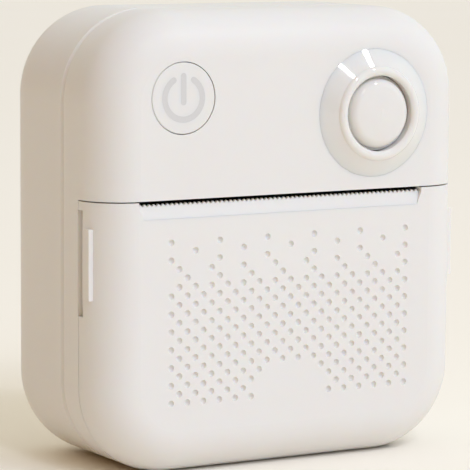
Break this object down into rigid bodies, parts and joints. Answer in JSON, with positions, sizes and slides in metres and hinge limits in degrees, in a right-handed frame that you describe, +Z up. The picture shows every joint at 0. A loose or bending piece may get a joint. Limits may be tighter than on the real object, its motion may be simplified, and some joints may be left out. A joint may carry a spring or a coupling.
{
  "type": "label_printer",
  "caption": "Pocket label printer, light grey, with a saw-toothed paper slot, a dimpled paper door hinged at the bottom, and two round buttons on the front.",
  "frame": {"origin": "Middle of the bounding box in X and Y, on the base in Z.", "axes": "+X is to the right seen from the front, +Y runs from the front face to the rear, +Z is up."},
  "size_m": [0.08, 0.0432, 0.0865],
  "materials": {
    "light_grey_plastic": "fine matt texture",
    "glossy_grey_plastic": "polished",
    "symbol_grey": "printed",
    "black_plastic": "moulded",
    "natural_nylon": "moulded",
    "steel": "plated",
    "platen_rubber": "ground",
    "heat_sink_aluminium": "sheet",
    "head_ceramic": "glazed",
    "board_green": "solder resist",
    "ribbon_film": "film",
    "battery_wrap": "pouch foil",
    "lead_red": "insulation",
    "lead_black": "insulation",
    "label_paper": "coated",
    "core_card": "wound",
    "magnet_nickel": "nickel plated"
  },
  "bodies": {
    "case": {"rear_shell": "light_grey_plastic", "front_shell": "light_grey_plastic", "button_ring": "glossy_grey_plastic", "shell_screws": "steel", "mechanism_frame": "steel", "mechanism_screws": "steel", "idler_axle": "steel", "head_pivot_pin": "steel", "stepper_motor": "steel", "motor_screws": "steel", "head_springs": "steel", "main_board": "board_green", "board_screws": "steel", "main_chip": "black_plastic", "power_switch": "black_plastic", "feed_switch": "black_plastic", "usb_c_port": "steel", "ribbon_connector": "natural_nylon", "head_ribbon": "ribbon_film", "battery": "battery_wrap", "battery_connector": "natural_nylon", "battery_lead_red": "lead_red", "battery_lead_black": "lead_black", "paper_bay": "black_plastic", "bay_screws": "steel", "paper_sensor": "black_plastic", "left_roll_holder": "black_plastic", "right_roll_holder": "black_plastic", "door_sensor": "black_plastic"},
    "door": {"paper_door": "light_grey_plastic", "tear_bar": "light_grey_plastic", "hinge_pins": "steel", "platen_bushings": "natural_nylon", "door_magnet": "magnet_nickel"},
    "platen": {"platen_roller": "platen_rubber", "platen_shaft": "steel", "platen_gear": "natural_nylon"},
    "idler": {"idler_gear": "natural_nylon"},
    "motor_rotor": {"motor_pinion": "steel", "motor_shaft": "steel"},
    "head": {"thermal_head": "head_ceramic", "head_heat_sink": "heat_sink_aluminium", "head_connector": "natural_nylon"},
    "roll": {"label_roll": "label_paper", "roll_core": "core_card"},
    "power_button": {"power_button": "light_grey_plastic", "power_symbol": "symbol_grey", "power_switch_plunger": "black_plastic"},
    "feed_button": {"feed_button": "glossy_grey_plastic", "feed_switch_plunger": "black_plastic"}
  },
  "joints": [
    {"name": "door_hinge", "type": "hinge", "parent": "case", "child": "door", "pos_m": [0, -0.01355, 0.0052], "axis": [1, 0, 0], "range_deg": [0, 70]},
    {"name": "platen_spin", "type": "hinge", "parent": "door", "child": "platen", "pos_m": [-0.0011, -0.00925, 0.0469], "axis": [1, 0, 0], "continuous": true},
    {"name": "idler_spin", "type": "hinge", "parent": "case", "child": "idler", "pos_m": [0.0334, -0.00226, 0.04732], "axis": [1, 0, 0], "continuous": true},
    {"name": "motor_spin", "type": "hinge", "parent": "case", "child": "motor_rotor", "pos_m": [0.025, 0.0047, 0.05219], "axis": [1, 0, 0], "continuous": true},
    {"name": "head_tilt", "type": "hinge", "parent": "case", "child": "head", "pos_m": [-0.0011, -0.00436, 0.05257], "axis": [-1, 0, 0], "range_deg": [0, 2], "stiffness_Nm_per_rad": 0.4, "springref_deg": -9.74, "deforming": ["head_springs"]},
    {"name": "roll_spin", "type": "hinge", "parent": "case", "child": "roll", "pos_m": [-0.0011, 0.00275, 0.0215], "axis": [1, 0, 0], "continuous": true},
    {"name": "power_press", "type": "slide", "parent": "case", "child": "power_button", "axis": [0, 1, 0], "range_m": [0, 0.0005], "stiffness_N_per_m": 1200, "springref_m": -0.0005},
    {"name": "feed_press", "type": "slide", "parent": "case", "child": "feed_button", "axis": [0, 1, 0], "range_m": [0, 0.0006], "stiffness_N_per_m": 1200, "springref_m": -0.0005}
  ],
  "couplings": [
    {"joint": "idler_spin", "follows": "platen_spin", "ratio": -1.3333},
    {"joint": "motor_spin", "follows": "platen_spin", "ratio": 3.2}
  ]
}
